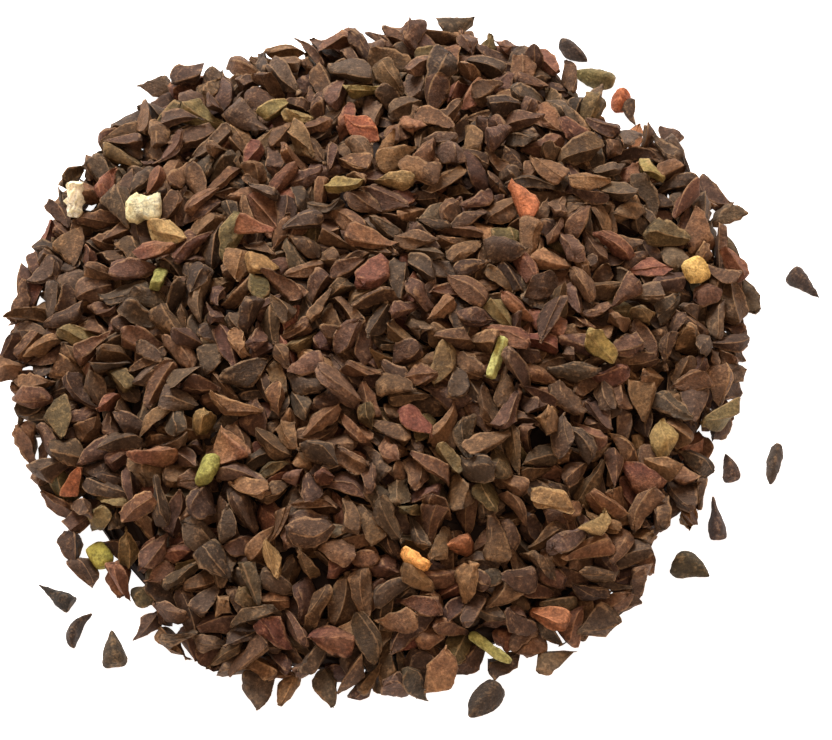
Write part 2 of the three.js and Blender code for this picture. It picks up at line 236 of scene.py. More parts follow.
# Kinds of which only chosen seeds are: colour, second colour, slot.
CHOSEN_KINDS = {
    "pale_seeds": ((0.24, 0.155, 0.062), (0.165, 0.098, 0.038), "tan_seed"),
    "golden_seed": ((0.6, 0.31, 0.09), (0.5, 0.24, 0.06), "tan_seed"),
    "orange_seeds": ((0.31, 0.105, 0.046), (0.2, 0.078, 0.038), "reddish_seed"),
    "yellow_seeds": ((0.17, 0.125, 0.045), (0.3, 0.23, 0.08), "olive_seed"),
}
# The colour of a pale edge, partly worn coat and partly painted highlight: so much of the seed's
# own, and so much of this.
EDGE_WEAR_AND_HIGHLIGHT_SHARE = 1.3
EDGE_WEAR_AND_HIGHLIGHT_COLOUR = (0.2, 0.125, 0.06)
# How far seeds of a kind differ in shade and in hue, how fast a seed's two colours change over, and
# the lowest and highest a colour may be.
SHADE_SPREAD = 0.22
HUE_SPREAD = 0.04
COLOUR_CHANGE = 1.6
COLOUR_LIMITS = (0.01, 0.95)

# A seed's coat: sizes of its mottles, grains and pits, depth of the pits, roughness and gloss. The
# range of the noise that counts, and how dark and bright mottles and grains make the coat. Where
# the sum of edge, patches and specks is in the range, the coat turns to the edge's colour: worn
# paler at the patches and specks, and at the edges partly worn and partly a painted highlight.
MOTTLE_SIZE = 0.55
GRAIN_SIZE = 0.2
PIT_SIZE = 0.09
PIT_DEPTH = 0.09
COAT_ROUGHNESS = 0.66
COAT_GLOSS = 0.25
NOISE_RANGE = (0.3, 0.7)
MOTTLE_LEVELS = (0.6, 1.4)
GRAIN_LEVELS = (0.6, 1.4)
PATCH_LEVELS = (-0.25, 0.4)
SPECK_LEVELS = (-0.3, 0.3)
WEAR_AND_HIGHLIGHT_RANGE = (0.25, 0.95)
WEAR_AND_HIGHLIGHT_SHARE = 0.8
NOISE_DETAIL = 3
NOISE_ROUGHNESS = 0.6

# Stage: the floor's reach in metres, colour, roughness and glow, the lamp's place in metres, size in
# metres and power in watts, and the brightness and colour of the light from all round.
FLOOR_REACH = 2.0
FLOOR_COLOUR = (0.8, 0.8, 0.8)
FLOOR_ROUGHNESS = 0.9
FLOOR_GLOW = 0.95
LAMP_PLACE = (-0.13, 0.36, 0.38)
LAMP_AIM = (0, 0, 0.004)
LAMP_SIZE = 0.25
LAMP_WATTS = 4.6
AMBIENT_STRENGTH = 0.88
AMBIENT_COLOUR = (1, 0.69, 0.5)

# Seeds that stand out by their colour: x, y, direction of the point, length, width, kind.
CHOSEN_SEEDS = [
    (-15.7, 6.7, -25, 3.8, 2.1, "pale_seeds"),
    (-16.2, 4.9, 10, 3.4, 1.6, "reddish_seeds"),
    (-23.3, 7.1, -80, 3.4, 2.6, "tan_seeds"),
    (3.0, -19.6, 154, 2.7, 2.3, "golden_seed"),
    (6.0, -18.6, 54, 2.9, 1.9, "orange_seeds"),
    (12.3, -22.9, 158, 3.2, 1.8, "orange_seeds"),
    (-4.9, -19.8, 114, 3.6, 1.9, "tan_seeds"),
    (-7.9, -20.4, -85, 3.2, 2.2, "pale_seeds"),
    (15.4, -17.1, 49, 3.6, 1.7, "pale_seeds"),
    (12.4, -15.8, 170, 3.4, 1.7, "pale_seeds"),
    (-17.0, -15.1, 2, 3.3, 1.7, "tan_seeds"),
    (2.6, -10.4, -30, 3.3, 2.2, "reddish_seeds"),
    (15.5, 11.1, 12, 3.4, 1.8, "tan_seeds"),
    (1.1, 10.2, 170, 3.3, 1.6, "pale_seeds"),
    (6.9, 21.8, 33, 3.3, 1.8, "tan_seeds"),
    (10.5, 8.9, 128, 3.4, 2.0, "orange_seeds"),
    (-1.7, 15.8, 143, 3.3, 2.2, "orange_seeds"),
    (-9.4, 6.1, -4, 3.1, 1.7, "reddish_seeds"),
    (-18.0, -19.5, -90, 3.3, 2.0, "reddish_seeds"),
    (11.4, -9.6, 60, 3.7, 2.3, "tan_seeds"),
    (-8.7, 2.8, 0, 2.8, 2.3, "pale_seeds"),
    (-0.5, 1.5, 60, 3.3, 2.4, "reddish_seeds"),
    (-10.7, 3.3, -90, 3.0, 2.0, "tan_seeds"),
    (-8.0, 18.0, 20, 2.7, 1.9, "yellow_seeds"),
    (-6.3, 17.3, -30, 2.7, 1.7, "yellow_seeds"),
    (-1.5, 20.0, 10, 3.3, 1.4, "yellow_seeds"),
    (-2.5, 9.4, -30, 3.4, 1.7, "yellow_seeds"),
    (0.7, 14.1, 45, 3.2, 1.4, "tan_seeds"),
    (20.1, 13.0, -10, 2.5, 2.0, "yellow_seeds"),
    (16.0, -3.2, -40, 3.2, 2.0, "yellow_seeds"),
    (20.6, -9.2, 90, 3.0, 2.2, "yellow_seeds"),
    (-17.9, -17.0, 85, 3.2, 1.5, "pale_seeds"),
    (-12.0, -9.6, -40, 3.3, 2.2, "pale_seeds"),
    (-23.3, -7.6, -80, 3.4, 2.3, "olive_seeds"),
    (-21.0, -12.9, 10, 2.8, 1.9, "orange_seeds"),
]

# Seeds on the floor that stand out from the heap's round outline, written as those above.
RIM_SEEDS = [
    (-17.7, 23.6, -178, 3.0, 2.0, "grey_seeds"),
    (-16.9, 22.2, 71, 2.6, 1.8, "plum_seeds"),
    (25.4, 13.6, -33, 3.3, 2.0, "plum_seeds"),
    (26.3, 11.8, -145, 3.0, 2.0, "grey_seeds"),
    (-8.5, -28.2, -82, 3.2, 2.4, "grey_seeds"),
    (-6.5, -28.0, -108, 3.3, 1.5, "tan_seeds"),
    (-3.7, -28.2, -66, 3.1, 1.9, "grey_seeds"),
    (12.5, -25.6, 29, 3.4, 2.2, "grey_seeds"),
    (9.0, -26.0, 30, 3.0, 2.1, "grey_seeds"),
    (27.5, 4.5, 101, 3.4, 2.0, "grey_seeds"),
    (22.2, 18.3, -98, 3.0, 2.1, "plum_seeds"),
    (-21.2, -18.7, -57, 3.2, 1.8, "plum_seeds"),
    (-22.4, -16.7, -75, 3.2, 1.9, "plum_seeds"),
    (-18.9, -18.9, -80, 3.2, 2.0, "reddish_seeds"),
    (-16.6, -23.0, -128, 3.0, 1.7, "plum_seeds"),
    (5.8, 29.4, 14, 3.0, 1.9, "grey_seeds"),
    (19.4, 18.9, 68, 2.7, 1.8, "orange_seeds"),
    (19.2, 21.1, -81, 2.6, 1.2, "umber_seeds"),
]

# Bits of stalk and husk: x, y, direction, length, width, thickness, share of the width left at the
# ends, ribs round it, their height, how crumpled it is, colour, second colour, slot.
BITS = {
    "green_stalk": (
        (8.5, -5.3, 76, 3.3, 0.8, 0.75, 0.9, 5, 0.14, 0.4),
        (0.3, 0.33, 0.08), (0.5, 0.53, 0.2), "green_stalk",
    ),
    "pale_stalk": (
        (8.2, -24.5, 168, 3.6, 0.9, 0.8, 0.45, 4, 0.14, 0.6),
        (0.35, 0.36, 0.1), (0.54, 0.52, 0.22), "green_stalk",
    ),
    "brown_stalk": (
        (-16.1, 2.7, 84, 2.8, 1.1, 0.9, 0.9, 4, 0.15, 0.8),
        (0.22, 0.19, 0.055), (0.38, 0.34, 0.12), "green_stalk",
    ),
    "green_bit_1": (
        (-12.1, -13.9, 72, 2.3, 2.1, 1.3, 0.6, 3, 0.06, 0.8),
        (0.24, 0.24, 0.06), (0.4, 0.4, 0.14), "green_stalk",
    ),
    "green_bit_2": (
        (-19.2, -16.8, -13, 1.9, 1.6, 1.4, 0.6, 3, 0.06, 0.8),
        (0.25, 0.24, 0.05), (0.16, 0.14, 0.03), "green_stalk",
    ),
    "yellow_chip": (
        (23.4, 4.7, 37, 2.1, 1.8, 1.0, 0.7, 2, 0.12, 0.9),
        (0.78, 0.52, 0.11), (0.88, 0.69, 0.27), "pale_husk",
    ),
    # The husks' second colour, a darker yellow-green, is painted shade: it is mixed in bands across
    # them and put on their edges.
    "husk_1": (
        (-17.7, 9.0, 4, 2.7, 2.0, 1.7, 0.6, 2, 0.2, 3.2),
        (0.85, 0.8, 0.6), (0.72, 0.63, 0.33), "pale_husk",
    ),
    "husk_2": (
        (-22.6, 11.0, 80, 2.7, 1.4, 1.3, 0.65, 2, 0.2, 2.8),
        (0.86, 0.83, 0.66), (0.7, 0.62, 0.32), "pale_husk",
    ),
}

# Colour and second colour of each loose seed, in the order of their nodes' numbers.
LOOSE_LOOKS = [
    ((0.034, 0.027, 0.022), (0.046, 0.035, 0.027)),
    ((0.042, 0.028, 0.022), (0.06, 0.033, 0.026)),
    ((0.06, 0.041, 0.024), (0.047, 0.032, 0.02)),
    ((0.036, 0.027, 0.02), (0.048, 0.034, 0.024)),
    ((0.047, 0.037, 0.02), (0.06, 0.047, 0.025)),
    ((0.052, 0.032, 0.025), (0.07, 0.037, 0.028)),
    ((0.056, 0.031, 0.025), (0.075, 0.038, 0.028)),
    ((0.05, 0.035, 0.024), (0.036, 0.027, 0.021)),
    ((0.044, 0.032, 0.025), (0.058, 0.038, 0.029)),
    ((0.036, 0.027, 0.022), (0.05, 0.034, 0.025)),
    ((0.1, 0.084, 0.036), (0.15, 0.135, 0.04)),
    ((0.3, 0.095, 0.036), (0.18, 0.063, 0.03)),
]

rng = np.random.default_rng(SEED_OF_DRAWS)


def outline_radius(angle):
    lobes = sum(h * np.cos(n * (angle - math.radians(d))) for n, h, d in OUTLINE_LOBES)
    return HEAP_RADIUS + lobes


def core_height(x, y):
    edge = outline_radius(np.arctan2(y, x)) - CORE_INSET
    share = np.minimum(1, np.hypot(x, y) / edge)
    return (HEAP_HEIGHT - CORE_DEPTH) * (1 - share**DOME_FULLNESS) ** DOME_SHOULDER


def per_thing(values, like):
    """One value for each thing, shaped so that it goes with an array of points' values."""
    return values.reshape((-1,) + (1,) * (like.ndim - 1))


# ---------------------------------------------------------------------------------- seed shapes


def draw_evenly(limits, *counts):
    return rng.uniform(*limits, counts)


def draw_seeds(count):
    """Shapes of count seeds: every entry has one number or one row of numbers for each."""
    size = rng.normal(1, SIZE_SPREAD, count).clip(*SIZE_LIMITS)
    broken = rng.random(count) < BROKEN_SHARE
    three_sided = rng.random(count) < THREE_SIDED_SHARE
    shape = {
        "corners": np.stack([
            np.stack([draw_evenly(limits, count) for limits in place], -1) for place in RIDGE_PLACES
        ], 1),
        "sharpness": draw_evenly(SHARPNESS, count, RIDGES),
        "bulge": draw_evenly(ARCH, count, RIDGES),
        "bend": rng.normal(0, BEND, (count, 2)),
        "oblique": rng.normal(0, OBLIQUE, (count, 2)),
        "twist": rng.normal(0, TWIST, count),
    }
    for name, (mean, spread) in SEED_SIZES.items():
        shape[name] = mean * size * rng.normal(1, spread, count).clip(*SHARE_LIMITS)
    for name, limits in EVEN_DRAWS.items():
        shape[name] = draw_evenly(limits, count)
    for name, limits in BROKEN_DRAWS.items():
        shape[name] = np.where(broken, draw_evenly(limits, count), shape[name])
    shape["length"] *= np.where(broken, draw_evenly(BROKEN_LENGTH, count), 1)
    shape["sharpness"][:, 1] *= np.where(three_sided, FAINT_RIDGE, 1)
    shape["bulge"][:, :2] += np.where(three_sided, FAINT_ARCH, 0)[:, None]
    return shape


def section_scale(shape, along):
    """How wide each seed is at each station, as a share of its width."""
    fullest, blunt, taper, tip = (shape[k][:, None] for k in ("fullest", "blunt", "taper", "tip"))
    start = (1 - (1 - np.minimum(along / fullest, 1)) ** blunt) ** (1 / blunt)
    run = np.clip((along - fullest) / (1 - fullest), 0, 1)
    return np.where(along < fullest, start, tip + (1 - tip) * (1 - run**taper))


def ring_points(shape):
    """Points round a section of each seed, in shares of its width and thickness."""
    start = shape["corners"][:, :, None, :]
    chord = np.roll(shape["corners"], -1, axis=1)[:, :, None, :] - start
    share = FACE_POINTS[None, None, :, None]
    outward = np.stack([chord[..., 1], -chord[..., 0]], -1)
    arch = shape["bulge"][:, :, None, None] * 4 * share * (1 - share)
    return (start + chord * share + outward * arch).reshape(-1, AROUND, 2)


def seed_surface(shape):
    """Points of every seed, which lies along X, blunt end first: seeds, stations, round it, x y z."""
    along = STATIONS[None, :, None]
    scale = section_scale(shape, STATIONS[None, :])[:, :, None]
    ring = ring_points(shape)[:, None, :, :]
    length, width, thickness = (shape[k][:, None, None] for k in ("length", "width", "thickness"))
    y = scale * ring[..., 0] * width
    z = scale * ring[..., 1] * thickness
    angle = shape["twist"][:, None, None] * (along - 0.5)
    y, z = y * np.cos(angle) - z * np.sin(angle), y * np.sin(angle) + z * np.cos(angle)
    lean = shape["oblique"][:, :, None, None]
    x = length * (along - 0.5) + (lean[:, 0] * y + lean[:, 1] * z) * (1 - along) ** 2
    bow = 1 - (2 * along - 1) ** 2
    bend = shape["bend"][:, :, None, None] * bow * length[:, None]
    y = y + bend[:, 0]
    z = z + bend[:, 1] + shape["droop"][:, None, None] * along**2 * thickness
    return np.stack([x, y, z], -1)


def press(points):
    """Flattens each seed on a few sides, as its neighbours do while it grows."""
    count = len(points)
    for _ in range(PRESSED_SIDES):
        normal = rng.normal(0, 1, (count, 3)) * PRESS_TURN
        normal /= np.linalg.norm(normal, axis=1, keepdims=True)
        reach = np.einsum("nspc,nc->nsp", points, normal)
        limit = reach.max(axis=(1, 2)) * draw_evenly(PRESS_REACH, count)
        over = np.maximum(0, reach - limit[:, None, None])
        points = points - over[..., None] * normal[:, None, None, :]
    return points


def fit_sizes(points, shape):
    """Stretches each seed to its length, width and thickness, and centres it."""
    low, high = points.min(axis=(1, 2)), points.max(axis=(1, 2))
    sizes = np.stack([shape[name] for name in SEED_SIZES], -1)
    return (points - (low + high)[:, None, None] / 2) * (sizes / (high - low))[:, None, None]


def outward_of(points):
    """Unit directions from the middle of each section to its points."""
    away = points - points.mean(axis=2, keepdims=True)
    return away / (np.linalg.norm(away, axis=-1, keepdims=True) + TINY)


def raise_ridges(points, sharpness):
    """Draws each ridge out to a thin lip, and hollows the face a little on both sides of it."""
    per_face = len(FACE_POINTS)
    lip = np.zeros((len(points), AROUND))
    lip[:, ::per_face] = LIP_HEIGHT * sharpness
    lip[:, 1::per_face] = -LIP_HOLLOW * sharpness
    lip[:, per_face - 1 :: per_face] = -LIP_HOLLOW * np.roll(sharpness, -1, axis=1)
    return points + outward_of(points) * lip[:, None, :, None]


def weather(points, outward, wear=1.0):
    """Wrinkles, roughness and dents: moves the points of each thing out of or into its inside."""
    count = len(points)
    moved = rng.normal(0, ROUGHNESS, points.shape[:-1])
    for wave_length, height in WRINKLES:
        direction = rng.normal(0, 1, (count, 3))
        direction /= np.linalg.norm(direction, axis=1, keepdims=True)
        phase = per_thing(rng.uniform(0, 2 * np.pi, count), moved)
        wave = np.einsum("n...c,nc->n...", points, direction) * (2 * np.pi / wave_length)
        moved += height * np.sin(wave + phase)
    flat = points.reshape(count, -1, 3)
    for _ in range(DENTS):
        centre = flat[np.arange(count), rng.integers(0, flat.shape[1], count)]
        centre = centre.reshape((count,) + (1,) * (points.ndim - 2) + (3,))
        size = per_thing(draw_evenly(DENT_SIZE, count), moved)
        depth = per_thing(draw_evenly(DENT_DEPTH, count), moved)
        distance = np.linalg.norm(points - centre, axis=-1)
        moved -= depth * np.exp(-((distance / size) ** 2))
    return points + outward * moved[..., None] * wear


def bend_at(points, before, after, outward):
    """Rise over run of each point above the line between the points before and after it."""
    run = after - before
    length = np.linalg.norm(run, axis=-1, keepdims=True) + TINY
    share = np.sum((points - before) * run, -1, keepdims=True) / length**2
    rise = np.sum((points - before - run * share) * outward, -1)
    return 2 * rise / length[..., 0]


def edge_wear_and_highlight(points):
    """How pale each point is, from 0 to 1: the sharper the edge that it is on, the paler. The paleness
    is partly a worn coat and partly a painted highlight on the ridges.
    """
    outward = outward_of(points)
    bend = bend_at(points, np.roll(points, 1, axis=2), np.roll(points, -1, axis=2), outward)
    along = bend_at(points[:, 1:-1], points[:, :-2], points[:, 2:], outward[:, 1:-1])
    bend[:, 1:-1] = np.maximum(bend[:, 1:-1], along)
    faintest, palest = PALE_BEND
    return ((bend - faintest) / (palest - faintest)).clip(0, 1)


def model_seeds(shape):
    """The seeds' fine surfaces, and how pale each point is as an edge, from 0 to 1."""
    surface = raise_ridges(press(seed_surface(shape)), shape["sharpness"])
    surface = fit_sizes(weather(surface, outward_of(surface)), shape)
    return surface, edge_wear_and_highlight(surface)


def model_bits():
    """The stalks' and husks' surfaces, with as many sections and points round them as a seed's."""
    rows = []
    turn = np.arange(AROUND) / AROUND * 2 * np.pi
    for (_, _, _, length, width, thickness, ends, ribs, rib_height, _), *_ in BITS.values():
        scale = ends + (1 - ends) * (1 - np.abs(2 * STATIONS - 1) ** BIT_SQUARENESS)
        scale[[0, -1]] *= BIT_CUT
        rib = 1 + rib_height * np.cos(ribs * turn)
        y = scale[:, None] * rib * np.cos(turn) * width / 2
        z = scale[:, None] * rib * np.sin(turn) * thickness / 2
        x = np.repeat(length * (STATIONS - 0.5)[:, None], AROUND, axis=1)
        rows.append(np.stack([x, y, z], -1))
    surface = np.array(rows)
    crumpled = np.array([row[0][-1] for row in BITS.values()])
    surface = weather(surface, outward_of(surface), crumpled[:, None, None, None])
    return surface, edge_wear_and_highlight(surface)


def grid_faces():
    """Triangles of one seed's closed surface: bands between sections, and a fan at each end."""
    faces = []
    last_ring = (len(STATIONS) - 1) * AROUND
    first_end = len(STATIONS) * AROUND
    for j in range(AROUND):
        k = (j + 1) % AROUND
        for ring in range(0, last_ring, AROUND):
            beyond = ring + AROUND
            faces.append((ring + j, ring + k, beyond + k))
            faces.append((ring + j, beyond + k, beyond + j))
        faces.append((first_end, k, j))
        faces.append((first_end + 1, last_ring + j, last_ring + k))
    return np.array(faces)


def with_ends(values):
    """The values at each thing's points as one list, with the middles of its two ends added."""
    ends = np.stack([values[:, 0].mean(axis=1), values[:, -1].mean(axis=1)], 1)
    return np.concatenate([values.reshape((len(values), -1) + values.shape[3:]), ends], 1)


# ------------------------------------------------------------------------------------ settling


def layer_start(x, y, layer):
    return float(core_height(x, y)) + START_GAP + LAYER_RISE * layer


def layer_reaches(x, y, layer):
    inset = START_INSET + LAYER_INSET * layer
    return math.hypot(x, y) < outline_radius(math.atan2(y, x)) - inset


def lattice_starts():
    """Where the seeds that nobody chose start: jittered lattices, one over another."""
    starts = []
    places = range(-LATTICE_STEPS, LATTICE_STEPS + 1)
    for layer in range(LAYERS):
        for i in places:
            for j in places:
                x = (i + (j % 2) / 2 + layer * LAYER_SHIFT[0]) * LAYER_PITCH
                y = (j + layer * LAYER_SHIFT[1]) * LAYER_PITCH * math.sqrt(3) / 2
                x += rng.uniform(-START_JITTER, START_JITTER)
                y += rng.uniform(-START_JITTER, START_JITTER)
                z = layer_start(x, y, layer) + rng.uniform(-START_JITTER, START_JITTER)
                if layer_reaches(x, y, layer):
                    starts.append(Matrix.Translation((x, y, z)) @ random_turn())
    return starts


def random_turn():
    quaternion = Quaternion(rng.normal(0, 1, 4))
    return quaternion.normalized().to_matrix().to_4x4()


def lying(x, y, z, direction):
    return Matrix.Translation((x, y, z)) @ Matrix.Rotation(math.radians(direction), 4, "Z")


def clear_of(points, others, gap):
    """Which things keep a gap between all their points and the others' points, seen from above."""
    clear = np.ones(len(points), bool)
    for other in others:
        apart = points[:, :, None, :2] - other[:, :2]
        clear &= (np.hypot(apart[..., 0], apart[..., 1]) > gap).all(axis=(1, 2))
    return clear


def has_neighbours(centres):
    apart = np.linalg.norm(centres[:, None] - centres, axis=-1)
    return (apart < NEIGHBOUR_REACH).sum(axis=1) - 1 >= LEAST_NEIGHBOURS


def stays_in_heap(hulls, rest):
    """Which seeds stay: the rim's, and those inside the outline that cover no loose or rim seed."""
    rim = len(RIM_SEEDS)
    centres = rest[:, :3, 3]
    reach = np.hypot(centres[:, 0], centres[:, 1])
    stays = reach < outline_radius(np.arctan2(centres[:, 1], centres[:, 0])) + SPILL
    loose = [np.array(points) for points, _ in loose_blocks()]
    stays &= clear_of(placed(hulls, rest), loose, LOOSE_CLEARANCE)
    stays &= clear_of(centres[:, None], centres[:rim, None], RIM_CLEARANCE)
    stays &= has_neighbours(centres)
    stays[:rim] = True
    return stays


def make_room(rest, rows):
    """Which seeds stay when the highest ones at each chosen place make room, but for the rim's."""
    centres = rest[:, :3, 3]
    stays = np.ones(len(centres), bool)
    for x, y, _ in rows:
        near = np.hypot(centres[:, 0] - x, centres[:, 1] - y) < POCKET
        highest = centres[near, 2].max(initial=0)
        stays &= ~(near & (centres[:, 2] > highest - POCKET_DEPTH))
    stays[: len(RIM_SEEDS)] = True
    return stays


def laying_starts(points, rows, halves):
    """Where the chosen things start, just above the settled points that are under them."""
    starts = []
    for (x, y, direction), half in zip(rows, halves):
        near = np.hypot(points[:, 0] - x, points[:, 1] - y) < FOOTPRINT
        under = points[near, 2].max(initial=0)
        starts.append(lying(x, y, under + half + DROP, direction))
    return starts


def mesh_object(name, points, faces):
    mesh = bpy.data.meshes.new(name)
    mesh.from_pydata(points, [], faces)
    thing = bpy.data.objects.new(name, mesh)
    bpy.context.scene.collection.objects.link(thing)
    return thing


def add_bodies(things, kind, shape, friction=FRICTION, damping=DAMPING):
    if not things:
        return
    bpy.ops.object.select_all(action="DESELECT")
    for thing in things:
        thing.select_set(True)
    bpy.context.view_layer.objects.active = things[0]
    bpy.ops.rigidbody.objects_add(type=kind)
    for thing in things:
        body = thing.rigid_body
        body.collision_shape = shape
        body.friction = friction
        body.restitution = 0
        body.use_margin = True
        body.collision_margin = MARGIN
        body.linear_damping = damping
        body.angular_damping = damping


def settle(hulls, starts, obstacles, frames, held, fences=(), damping=DAMPING):
    """Drops the hulls, but for the first ones that are held, and gives their matrices at rest."""
    scene = bpy.context.scene
    bpy.ops.rigidbody.world_add()
    scene.rigidbody_world.substeps_per_frame = SETTLE_STEPS
    scene.rigidbody_world.solver_iterations = SOLVER_ROUNDS
    scene.rigidbody_world.point_cache.frame_end = frames
    scene.gravity = (0, 0, -GRAVITY)
    things = [mesh_object("thing", hull, []) for hull in hulls]
    for thing, start in zip(things, starts):
        thing.matrix_world = Matrix(start)
    still = [mesh_object("still", *obstacle) for obstacle in obstacles]
    walls = [mesh_object("wall", *fence) for fence in fences]
    add_bodies(things[:held], "PASSIVE", "CONVEX_HULL")
    add_bodies(things[held:], "ACTIVE", "CONVEX_HULL", damping=damping)
    add_bodies(still, "PASSIVE", "MESH")
    add_bodies(walls, "PASSIVE", "MESH", friction=0)
    for step in range(1, frames + 1):
        scene.frame_set(step)
    depsgraph = bpy.context.evaluated_depsgraph_get()
    rest = np.array([thing.evaluated_get(depsgraph).matrix_world for thing in things])
    bpy.ops.rigidbody.world_remove()
    scene.frame_set(1)
    bpy.data.batch_remove([thing.data for thing in things + still + walls])
    return rest


def fence_wall():
    """A ring of upright faces along the outline, which keeps the seeds in as they fall."""
    points, faces = [], []
    for i in range(CORE_SECTORS):
        angle = i / CORE_SECTORS * 2 * math.pi
        radius = outline_radius(angle)
        x, y = radius * math.cos(angle), radius * math.sin(angle)
        points += [(x, y, -1), (x, y, FENCE_HEIGHT)]
        after = 2 * ((i + 1) % CORE_SECTORS)
        faces.append((2 * i, after, after + 1, 2 * i + 1))
    return points, faces


def core_surface():
    """The core's points and triangles: a bumpy dome with a flat base."""
    bumps = np.random.default_rng(SEED_OF_DRAWS)
    points = [(0.0, 0.0, float(core_height(0, 0)))]
    for ring in range(1, CORE_RINGS + 1):
        for sector in range(CORE_SECTORS):
            angle = (sector + (ring % 2) / 2) / CORE_SECTORS * 2 * math.pi
            reach = outline_radius(angle) - CORE_INSET
            radius = reach * math.sin(ring / CORE_RINGS * math.pi / 2)
            x, y = radius * math.cos(angle), radius * math.sin(angle)
            bump = CORE_BUMP * bumps.uniform(-1, 1) if ring < CORE_RINGS else 0
            points.append((x, y, max(CORE_LEAST, float(core_height(x, y)) + bump)))
    points.append((0.0, 0.0, CORE_BASE))
    faces = []

    def at(ring, sector):
        return 1 + (ring - 1) * CORE_SECTORS + sector % CORE_SECTORS

    for sector in range(CORE_SECTORS):
        faces.append((0, at(1, sector), at(1, sector + 1)))
        for ring in range(1, CORE_RINGS):
            a, b = at(ring, sector), at(ring, sector + 1)
            c, d = at(ring + 1, sector), at(ring + 1, sector + 1)
            faces.append((a, c, d))
            faces.append((a, d, b))
        faces.append((len(points) - 1, at(CORE_RINGS, sector + 1), at(CORE_RINGS, sector)))
    return points, faces


def floor_block():
    """A thick slab under the floor, for the falling seeds to land on."""
    sides = (-SLAB_REACH, SLAB_REACH)
    points = [(x, y, z) for z in (-SLAB_DEPTH, 0) for y in sides for x in sides]
    faces = [(0, 2, 3, 1), (4, 5, 7, 6), (0, 1, 5, 4), (2, 6, 7, 3), (0, 4, 6, 2), (1, 3, 7, 5)]
    return points, faces


def loose_nodes():
    return [node for name, node in sorted(frame["nodes"].items()) if name != "seed_heap"]


def loose_blocks():
    """The loose seeds as they are in the frame, for the falling seeds to keep clear of."""
    return [
        (
            [tuple(v.co / METRES) for v in node.data.vertices],
            [tuple(p.vertices) for p in node.data.polygons],
        )
        for node in loose_nodes()
    ]


# ------------------------------------------------------------------------------------- meshes


def tints(points, first, second):
    """Each thing's colour at its points: its own shade of the first colour, partly the second."""
    count = len(points)
    shade = np.exp(rng.normal(0, SHADE_SPREAD, (count, 1)) + rng.normal(0, HUE_SPREAD, (count, 3)))
    direction = rng.normal(0, 1, (count, 3))
    direction /= np.linalg.norm(direction, axis=1, keepdims=True)
    wave = np.einsum("nvc,nc->nv", points, direction) * COLOUR_CHANGE
    phase = rng.uniform(0, 2 * np.pi, (count, 1))
    share = rng.uniform(0, 1, (count, 1)) * (0.5 + 0.5 * np.sin(wave + phase))
    mixed = np.array(first) * (1 - share[..., None]) + np.array(second) * share[..., None]
    return (mixed * shade[:, None, :]).clip(*COLOUR_LIMITS)


def set_attributes(mesh, tint, edge):
    rgba = np.ones((len(mesh.vertices), 4), np.float32)
    rgba[:, :3] = tint.reshape(-1, 3)
    mesh.color_attributes.new("tint", "FLOAT_COLOR", "POINT").data.foreach_set("color", rgba.ravel())
    pale = mesh.attributes.new("edge", "FLOAT", "POINT")
    pale.data.foreach_set("value", edge.astype(np.float32).ravel())
    mesh.polygons.foreach_set("use_smooth", np.ones(len(mesh.polygons), bool))


def join_things(name, local, edge, rest, tint):
    """One object of all these things, each placed by its matrix."""
    world = placed(local, rest)
    world[:, :, 2] += np.maximum(0, FLOOR_GAP - world[:, :, 2].min(axis=1))[:, None]
    steps = np.arange(len(world)) * world.shape[1]
    faces = (grid_faces()[None] + steps[:, None, None]).reshape(-1, 3)
    piece = mesh_object(name, world.reshape(-1, 3) * METRES, faces)
    set_attributes(piece.data, tint, edge)
    return piece


def ridge_vertices(mesh):
    """Merges a solid's equal points, and gives 1 for each that is on a sharp edge and 0 for others."""
    work = bmesh.new()
    work.from_mesh(mesh)
    bmesh.ops.remove_doubles(work, verts=work.verts, dist=MERGE_DISTANCE)
    limit = math.radians(LOOSE_EDGE_ANGLE)
    on_edge = [float(any(e.calc_face_angle(0) > limit for e in v.link_edges)) for v in work.verts]
    work.to_mesh(mesh)
    work.free()
    return on_edge


def fine_copy(node, name):
    """A loose seed from its solid: the same form, with more faces, soft ridges, wrinkles and dents."""
    piece = bpy.data.objects.new(name, node.data.copy())
    bpy.context.scene.collection.objects.link(piece)
    piece.data.materials.clear()
    on_edge = ridge_vertices(piece.data)
    piece.data.attributes.new("edge", "FLOAT", "POINT").data.foreach_set("value", on_edge)
    piece.modifiers.new("finer", "SUBSURF").levels = FINER_LEVELS
    depsgraph = bpy.context.evaluated_depsgraph_get()
    mesh = bpy.data.meshes.new_from_object(piece.evaluated_get(depsgraph))
    piece.modifiers.clear()
    piece.data = mesh

    edge = np.empty(len(mesh.vertices))
    mesh.attributes["edge"].data.foreach_get("value", edge)
    mesh.attributes.remove(mesh.attributes["edge"])
    points = np.array([v.co / METRES for v in mesh.vertices])[None]
    normals = np.array([v.normal for v in mesh.vertices])[None]
    points = weather(points, normals, LOOSE_WEAR)
    points[..., 2] -= points[..., 2].min() - FLOOR_GAP
    mesh.vertices.foreach_set("co", (points * METRES).ravel())
    return piece, points, edge * LOOSE_EDGE_WEAR_AND_HIGHLIGHT


# ----------------------------------------------------------------------------------- materials


def new_material(name):
    material = bpy.data.materials.new(name)
    material.use_nodes = True
    tree = material.node_tree
    return material, tree, tree.nodes["Principled BSDF"]


def add_node(tree, kind, **inputs):
    node = tree.nodes.new(kind)
    for key, value in inputs.items():
        node.inputs[key.replace("_", " ")].default_value = value
    return node


